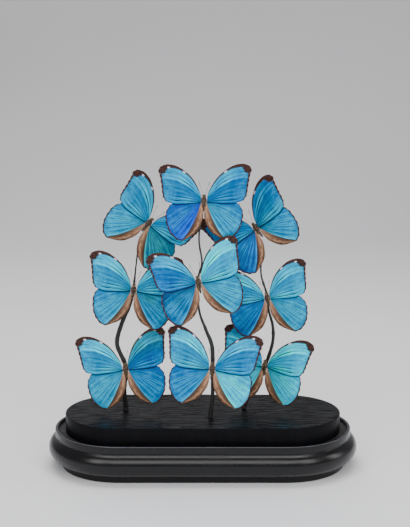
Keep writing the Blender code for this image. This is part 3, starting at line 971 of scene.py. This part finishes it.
def forewing_height(u, v, wave, settings):
    """How far the dried forewing stands above its bow: pleats and deep creases."""
    crease = groove(v, 0.3, 0.03) - 0.6 * groove(v, 0.36, 0.04)
    hollow = groove(v, 0.895, 0.025) - 0.5 * groove(v, 0.94, 0.03)
    deep = settings.crease / MM * (crease + 0.5 * hollow) * 4 * u * (1 - u)
    return settings.pleat / MM * pleats(u, v) * (1 - v ** 6) - deep + 0.5 * wave * u


def hindwing_height(u, v, wave, settings):
    """The same for the hindwing, whose inner fold swells up beside its crease."""
    if v > FOLD_START:
        across = (v - FOLD_START) / (1 - FOLD_START)
        swell = math.sin(math.pi * across) ** 0.8 * math.sin(math.pi * min(u, 0.97)) ** 0.5
        return 1.2 * swell - 0.5 * groove(across, 0.0, 0.12)
    part = v / FOLD_START
    rise = min(part * 5, 1.0)
    creases = groove(v, 0.27, 0.015) + groove(v, 0.375, 0.02) + groove(v, 0.473, 0.015)
    deep = 0.5 * settings.crease / MM * creases * 4 * u * (1 - u) + 0.5 * groove(v, FOLD_START, 0.03)
    return settings.pleat / MM * pleats(u, part) * rise - deep + 0.5 * wave * u * rise


def turned(points, root, degrees):
    """Points of a wing after it has swept forward about its root."""
    c, s = math.cos(math.radians(degrees)), math.sin(math.radians(degrees))
    x, y = (points - root[:2]).T
    return np.stack([x * c - y * s, x * s + y * c], 1) + root[:2]


def shadow_behind_forewing(sheet, fore_sweep, hind_sweep):
    """How far each corner of a hindwing lies behind the forewing's hind edge, in millimetres, for the
    painted shadow of the forewing.
    """
    edge = turned(spread_along(FOREWING_INNER, STEPS_ALONG), FOREWING_ROOT, fore_sweep)
    spots = turned(sheet.reshape(-1, 2), HINDWING_ROOT, hind_sweep)
    behind = np.interp(spots[:, 0], edge[:, 0], edge[:, 1]) - spots[:, 1]
    behind += np.maximum(spots[:, 0] - edge[-1, 0], 0) * 2
    return [[(part * UV_SCALE, 0.0) for part in row] for row in behind.reshape(sheet.shape[:2])]


def make_wing(place, kind, word, pose, settings, finishes, seed):
    """One wing with its pleats, its blues and its scalloped margin, in its place on the body."""
    pick = ("left", "right").index(word)
    side = (-1, 1)[pick]
    if kind == "forewing":
        sheet, across = forewing_sheet(settings)
        root, height = FOREWING_ROOT, forewing_height
    else:
        sheet, across = hindwing_sheet(settings)
        root, height = HINDWING_ROOT, hindwing_height
    pair = kind.replace("wing", "")
    sweep = pose[pair + "_sweep"][pick]
    matrix = pose_matrix(pose) @ Matrix.Translation((side * root[0], root[1], root[2]))
    matrix = matrix @ turning(-side * pose["lift"][pick], "Y") @ turning(side * sweep, "Z")
    hind_blue, front_blue = (
        np.array(PALETTE[blue]) for blue in pose[pair].split()[2 * pick:2 * pick + 2])

    along = np.linspace(0, 1, len(sheet))
    places, tints = [], []
    for u, corners in zip(along, sheet - root[:2]):
        row, tint_row = [], []
        for v, (x, y) in zip(across, corners):
            wave = noise.noise(Vector((x * 0.06, y * 0.06, seed * 3.7)))
            bow = WING_BOW * math.sin(math.pi * math.hypot(x, y) / WING_SPAN)
            row.append(matrix @ Vector((side * x, y, bow + height(u, v, wave, settings))))
            blend = min(max((0.75 - v * 0.9) * 1.3 + 0.6 * wave, 0.0), 1.0)
            tint_row.append(hind_blue * (1 - blend) + front_blue * blend)
        places.append(row)
        tints.append(tint_row)

    bm = bmesh.new()
    layer = bm.verts.layers.float_color.new("tint")
    uvs = {"rays": [[(u, v) for v in across] for u in along], "flat": sheet * UV_SCALE}
    if kind == "hindwing":
        uvs["shadow_behind_forewing"] = shadow_behind_forewing(sheet, pose["fore_sweep"][pick], sweep)
    index, faces = bent_grid(bm, places, uvs)
    for vert, (i, j) in index.items():
        vert[layer] = (*tints[i][j], 1.0)
    if side > 0:
        bmesh.ops.reverse_faces(bm, faces=list(faces))
    name = "_".join((place, kind, word))
    piece = new_piece(name + "_scaled", bm, finishes, name)
    membrane = piece.modifiers.new("membrane", "SOLIDIFY")
    membrane.thickness = settings.membrane
    membrane.offset = 0
    membrane.material_offset = 1
    membrane.material_offset_rim = 2


def make_body(place, pose, settings, finishes, seed):
    """Head, thorax and abdomen with hair, eyes, feelers and folded legs."""
    hair, eye = 1, 2
    bm = bmesh.new()
    bm.verts.layers.float_color.new("tint")
    angles = [math.tau * step / BODY_SIDES for step in range(BODY_SIDES + 1)]
    rings = [
        (height, max(width, 0), max(depth, 0), sink)
        for height, width, depth, sink in smooth_points(BODY_RINGS, 5)]
    bent_grid(bm, [
        [Vector((width * math.cos(a), height, depth * math.sin(a) - sink)) for a in angles]
        for height, width, depth, sink in rings])
    bmesh.ops.remove_doubles(bm, verts=bm.verts, dist=1e-4)
    bmesh.ops.recalc_face_normals(bm, faces=bm.faces)

    for side in (-1, 1):
        centre = Matrix.Translation((side * EYE_CENTRE[0], *EYE_CENTRE[1:]))
        ball = bmesh.ops.create_uvsphere(
            bm, u_segments=14, v_segments=10, radius=EYE_RADIUS, matrix=centre)
        for face in {f for v in ball["verts"] for f in v.link_faces}:
            face.material_index = eye
        feeler = smooth_points([(side * x, y, z, 0.15) for x, y, z in ANTENNA_POINTS], 8)
        feeler[-len(ANTENNA_CLUB):, 3] = ANTENNA_CLUB
        tube(bm, feeler, 8)
        for hip, knee, toe in LEGS:
            leg = [(side * 1.4, hip, -3.2, 0.32), (side * 3.3, knee, -4.4, 0.24),
                   (side * 3.0, (knee + toe) / 2, -4.7, 0.18), (side * 2.4, toe, -4.5, 0.12)]
            tube(bm, smooth_points(leg, 5), 6)

    strands = body_strands(settings, random.Random(seed))
    for start in range(0, len(strands), TUFT_SIZE):
        tuft = bmesh.new()
        layer = tuft.verts.layers.float_color.new("tint")
        for matrix, length, colour in strands[start:start + TUFT_SIZE]:
            made = bmesh.ops.create_cone(
                tuft, cap_ends=True, segments=3, radius1=HAIR_RADIUS, radius2=0.0, depth=length,
                matrix=matrix)["verts"]
            for vert in made:
                vert[layer] = (*colour, 1.0)
        for face in tuft.faces:
            face.material_index = hair
        mesh = bpy.data.meshes.new("tuft")
        tuft.to_mesh(mesh)
        tuft.free()
        bm.from_mesh(mesh)
        bpy.data.meshes.remove(mesh)
    bmesh.ops.transform(bm, matrix=pose_matrix(pose), verts=bm.verts)
    new_piece(place + "_body_haired", bm, finishes, place + "_body")


def body_strands(settings, draw):
    """The place, length and colour of each hair: golden in two bands, dark between them."""
    furry = [ring for ring in BODY_RINGS if -14.0 < ring[0] < 6.5][::-1]
    heights, *forms = np.array(furry).T
    strands = []
    for _ in range(settings.hairs):
        y = draw.uniform(heights[0], heights[-1])
        angle = draw.uniform(0, math.tau)
        out = Vector((math.cos(angle), 0.0, math.sin(angle)))
        width, depth, sink = (np.interp(y, heights, form) for form in forms)
        base = Vector((0.97 * width * out.x, y, 0.97 * depth * out.z - sink))
        lean = Vector((draw.gauss(0, 0.35), -1.0 + draw.gauss(0, 0.35), draw.gauss(0, 0.35)))
        aim = (out * 0.7 + lean * 0.9).normalized()
        length = settings.hair_length / MM * draw.uniform(0.6, 1.3)
        if abs(out.x) > 0.75 or y < -7:
            length *= 0.6
        colour = settings.hair_brown
        if 0.25 < abs(out.x) < 0.85 and draw.random() < 0.6:
            colour = settings.hair_gold
        elif abs(out.x) > 0.8 and -4 < y < 2 and draw.random() < 0.4:
            colour = settings.hair_blue
        shade = draw.uniform(0.35, 1.7)
        leaning = aim.to_track_quat("Z", "Y").to_matrix().to_4x4()
        matrix = Matrix.Translation(base + aim * length / 2) @ leaning
        strands.append((matrix, length, tuple(c * shade for c in linear(colour))))
    return strands


def make_floor():
    """A pale floor that curves up into a backdrop."""
    f = Finish("pale_floor")
    shade = f.mix(f.noise(f.place(), 1.5, 2.0), linear((0.85, 0.85, 0.86)), linear((0.88, 0.88, 0.89)))
    bend = [(1.6 + 1.2 * math.sin(a), 1.2 - 1.2 * math.cos(a)) for a in np.linspace(0.1, math.pi / 2, 12)]
    profile = [(-4.0, 0.0), (1.6, 0.0)] + bend + [(2.8, 4.0)]
    bm = bmesh.new()
    bent_grid(bm, [[Vector((x, y, z)) for y, z in profile] for x in (-5.0, 5.0)])
    bmesh.ops.recalc_face_normals(bm, faces=bm.faces)
    if sum(face.normal.z for face in bm.faces) < 0:
        bmesh.ops.reverse_faces(bm, faces=bm.faces)
    floor = new_object("floor", bm, [f.set(Base_Color=shade, Roughness=0.7)])


def make_lights(settings):
    world = bpy.data.worlds.new("studio")
    world.use_nodes = True
    sky = world.node_tree.nodes["Background"].inputs
    sky["Color"].default_value = (*settings.sky, 1.0)
    sky["Strength"].default_value = settings.sky_strength
    bpy.context.scene.world = world

    target = Vector((0.0, 0.0, 0.2))
    for name, spot, size, power in (
        ("left_light", (-1.3, -1.5, 1.3), (0.8, 1.2), settings.key_power),
        ("right_light", (1.3, -1.5, 1.3), (0.8, 1.2), settings.key_power),
        ("front_light", (0.0, -1.8, 1.5), (1.7, 1.1), settings.front_power),
        ("side_light", (1.9, -0.1, 0.8), (0.5, 1.0), settings.side_power),
        ("top_light", (0.0, 0.2, 1.9), (1.6, 1.0), settings.top_power),
        ("back_light", (-0.5, 1.6, 1.6), (1.2, 0.6), settings.back_power),
    ):
        light = bpy.data.lights.new(name, "AREA")
        light.shape = "RECTANGLE"
        light.size, light.size_y = size
        light.energy = power
        lamp = bpy.data.objects.new(name, light)
        lamp.location = spot
        lamp.rotation_euler = (target - Vector(spot)).to_track_quat("-Z", "Y").to_euler()
        bpy.context.collection.objects.link(lamp)


def make_camera(settings):
    lens = bpy.data.cameras.new("camera")
    lens.sensor_fit = "VERTICAL"
    lens.sensor_height = 36.0
    lens.lens = settings.lens
    lens.clip_start = 0.05
    camera = bpy.data.objects.new("camera", lens)
    camera.location = (settings.camera_x, -settings.camera_distance, settings.camera_height)
    camera.rotation_euler = (math.pi / 2 - settings.camera_tilt, 0.0, 0.0)
    bpy.context.collection.objects.link(camera)
    bpy.context.scene.camera = camera


def colour_property(name, description, default):
    return FloatVectorProperty(
        name=name, description=description, default=default, size=3, subtype="COLOR", min=0.0, max=1.0)


def number_property(name, description, default, **kinds):
    return FloatProperty(name=name, description=description, default=default, **kinds)


def length_property(name, description, default):
    return number_property(name, description, default, unit="LENGTH", subtype="DISTANCE", precision=5)


def power_property(name, default):
    return number_property(name, "Power", default, unit="POWER")


class BoardSettings(bpy.types.PropertyGroup):
    """Sizes and colours of the two boards of the base."""

    lacquer: colour_property("Lacquer", "Black of the moulding", (0.02, 0.02, 0.026))
    lacquer_worn: colour_property("Rubbed lacquer", "Black where it is rubbed", (0.06, 0.06, 0.072))
    grain_relief: length_property("Grain relief", "Height of the plinth's ripples", 0.0005)


class TwigSettings(bpy.types.PropertyGroup):
    """Form of the twigs."""

    knots: IntProperty(name="Knots", description="Swellings on each twig", default=9, min=0)


class WingSettings(bpy.types.PropertyGroup):
    """Sizes and colours of the wings."""

    membrane: length_property("Membrane", "Thickness of a wing", 0.00025)
    pleat: length_property("Pleats", "Height of the pleats between veins", 0.00013)
    crease: length_property("Creases", "Depth of the deepest crease", 0.0005)
    scallop: length_property("Scallops", "Depth of the bites in the margin", 0.0006)
    gleam: number_property("Gleam", "How metallic the blue is", 0.5, min=0.0, max=1.0)
    margin: colour_property("Margin", "Darkest brown of the margins", (0.05, 0.028, 0.034))
    margin_brown: colour_property("Margin brown", "Lighter brown of the margins", (0.33, 0.185, 0.15))
    fold: colour_property("Fold", "Tan of the hindwing's inner fold", (0.47, 0.325, 0.225))
    # Painted highlight on the fold's crest and near its root.
    fold_painted_highlight: colour_property("Fold lights", "Pink lights on the fold", (0.74, 0.57, 0.46))
    fold_brown: colour_property("Fold brown", "Brown streaks on the fold", (0.27, 0.185, 0.12))
    # Painted shade along the fold's edges.
    fold_painted_shade: colour_property("Fold shade", "Dark edge of the fold", (0.19, 0.12, 0.085))
    under: colour_property("Underside", "Brown of the underside", (0.47, 0.34, 0.24))
    under_dark: colour_property("Underside shade", "Dark brown of the underside", (0.26, 0.17, 0.12))


class BodySettings(bpy.types.PropertyGroup):
    """Hair of the bodies."""

    hairs: IntProperty(name="Hairs", description="Strands on each body", default=1300, min=0)
    hair_length: length_property("Hair length", "Usual length of a strand", 0.0016)
    hair_brown: colour_property("Brown hair", "Colour along the middle", (0.32, 0.18, 0.10))
    hair_gold: colour_property("Golden hair", "Colour of the two pale bands", (0.90, 0.71, 0.38))
    hair_blue: colour_property("Blue hair", "Colour near the wing bases", (0.30, 0.50, 0.66))


class StageSettings(bpy.types.PropertyGroup):
    """Lights and camera."""

    sky: colour_property("Sky", "Colour of the room's light", (1.0, 1.0, 1.0))
    sky_strength: number_property("Room light", "Strength", 0.28)
    key_power: power_property("Key light", 17.0)
    front_power: power_property("Front light", 27.0)
    side_power: power_property("Side light", 9.0)
    top_power: power_property("Top light", 28.0)
    back_power: power_property("Back light", 10.0)
    lens: number_property("Lens", "Focal length in millimetres", 85.39)
    camera_x: number_property("Camera x", "Sideways place", 0.00287, unit="LENGTH")
    camera_distance: number_property("Camera distance", "In front of the base", 1.5572, unit="LENGTH")
    camera_height: number_property("Camera height", "Above the floor", 0.5676, unit="LENGTH")
    camera_tilt: number_property(
        "Camera tilt", "Downward tilt", math.radians(11.04), unit="ROTATION", subtype="ANGLE")


class DISPLAY_OT_boards(bpy.types.Operator):
    """Model the moulding and the plinth of the base"""

    bl_idname = "display.boards"
    bl_label = "Base Boards"

    def execute(self, context):
        settings = context.scene.board_settings
        make_base_moulding(settings)
        make_plinth(settings)
        return {"FINISHED"}


class DISPLAY_OT_twigs(bpy.types.Operator):
    """Model the three twigs"""

    bl_idname = "display.twigs"
    bl_label = "Twigs"

    def execute(self, context):
        material = bark_finish()
        for seed, (name, route) in enumerate(TWIGS.items(), 1):
            make_twig(name, route, context.scene.twig_settings, material, seed)
        return {"FINISHED"}


def make_wings(kind, top, settings):
    finishes = [top(settings), underside_finish(settings, kind), rim_finish(settings)]
    for seed, (place, pose) in enumerate(BUTTERFLIES.items()):
        for pick, word in enumerate(("left", "right")):
            make_wing(place, kind, word, pose, settings, finishes, seed * 2 + pick)


class DISPLAY_OT_forewings(bpy.types.Operator):
    """Model the eighteen forewings"""

    bl_idname = "display.forewings"
    bl_label = "Forewings"

    def execute(self, context):
        make_wings("forewing", forewing_top_finish, context.scene.wing_settings)
        return {"FINISHED"}


class DISPLAY_OT_hindwings(bpy.types.Operator):
    """Model the eighteen hindwings"""

    bl_idname = "display.hindwings"
    bl_label = "Hindwings"

    def execute(self, context):
        make_wings("hindwing", hindwing_top_finish, context.scene.wing_settings)
        return {"FINISHED"}


class DISPLAY_OT_bodies(bpy.types.Operator):
    """Model the nine bodies"""

    bl_idname = "display.bodies"
    bl_label = "Bodies"

    def execute(self, context):
        finishes = [skin_finish(), hair_finish(), eye_finish()]
        for seed, (place, pose) in enumerate(BUTTERFLIES.items()):
            make_body(place, pose, context.scene.body_settings, finishes, seed)
        return {"FINISHED"}


class DISPLAY_OT_stage(bpy.types.Operator):
    """Set up the floor, the lights and the camera"""

    bl_idname = "display.stage"
    bl_label = "Stage"

    def execute(self, context):
        make_floor()
        make_lights(context.scene.stage_settings)
        make_camera(context.scene.stage_settings)
        return {"FINISHED"}


OPERATORS = (
    DISPLAY_OT_boards, DISPLAY_OT_twigs, DISPLAY_OT_forewings, DISPLAY_OT_hindwings,
    DISPLAY_OT_bodies, DISPLAY_OT_stage,
)
SETTINGS = {
    "board_settings": BoardSettings,
    "twig_settings": TwigSettings,
    "wing_settings": WingSettings,
    "body_settings": BodySettings,
    "stage_settings": StageSettings,
}


class DISPLAY_PT_pieces(bpy.types.Panel):
    """Lists the pieces of the display"""

    bl_idname = "DISPLAY_PT_pieces"
    bl_label = "Butterfly Display"
    bl_space_type = "VIEW_3D"
    bl_region_type = "UI"
    bl_category = "Butterflies"

    def draw(self, context):
        for operator in OPERATORS:
            self.layout.operator(operator.bl_idname)
        for name, group in SETTINGS.items():
            box = self.layout.box()
            for key in group.__annotations__:
                box.prop(getattr(context.scene, name), key)


def register():
    for name, group in SETTINGS.items():
        bpy.utils.register_class(group)
        setattr(bpy.types.Scene, name, PointerProperty(type=group))
    for shown in (*OPERATORS, DISPLAY_PT_pieces):
        bpy.utils.register_class(shown)


def unregister():
    for shown in (DISPLAY_PT_pieces, *reversed(OPERATORS)):
        bpy.utils.unregister_class(shown)
    for name, group in SETTINGS.items():
        delattr(bpy.types.Scene, name)
        bpy.utils.unregister_class(group)


def main():
    register()
    bpy.ops.display.boards()
    bpy.ops.display.twigs()
    bpy.ops.display.forewings()
    bpy.ops.display.hindwings()
    bpy.ops.display.bodies()
    bpy.ops.display.stage()


if __name__ == "__main__":
    main()
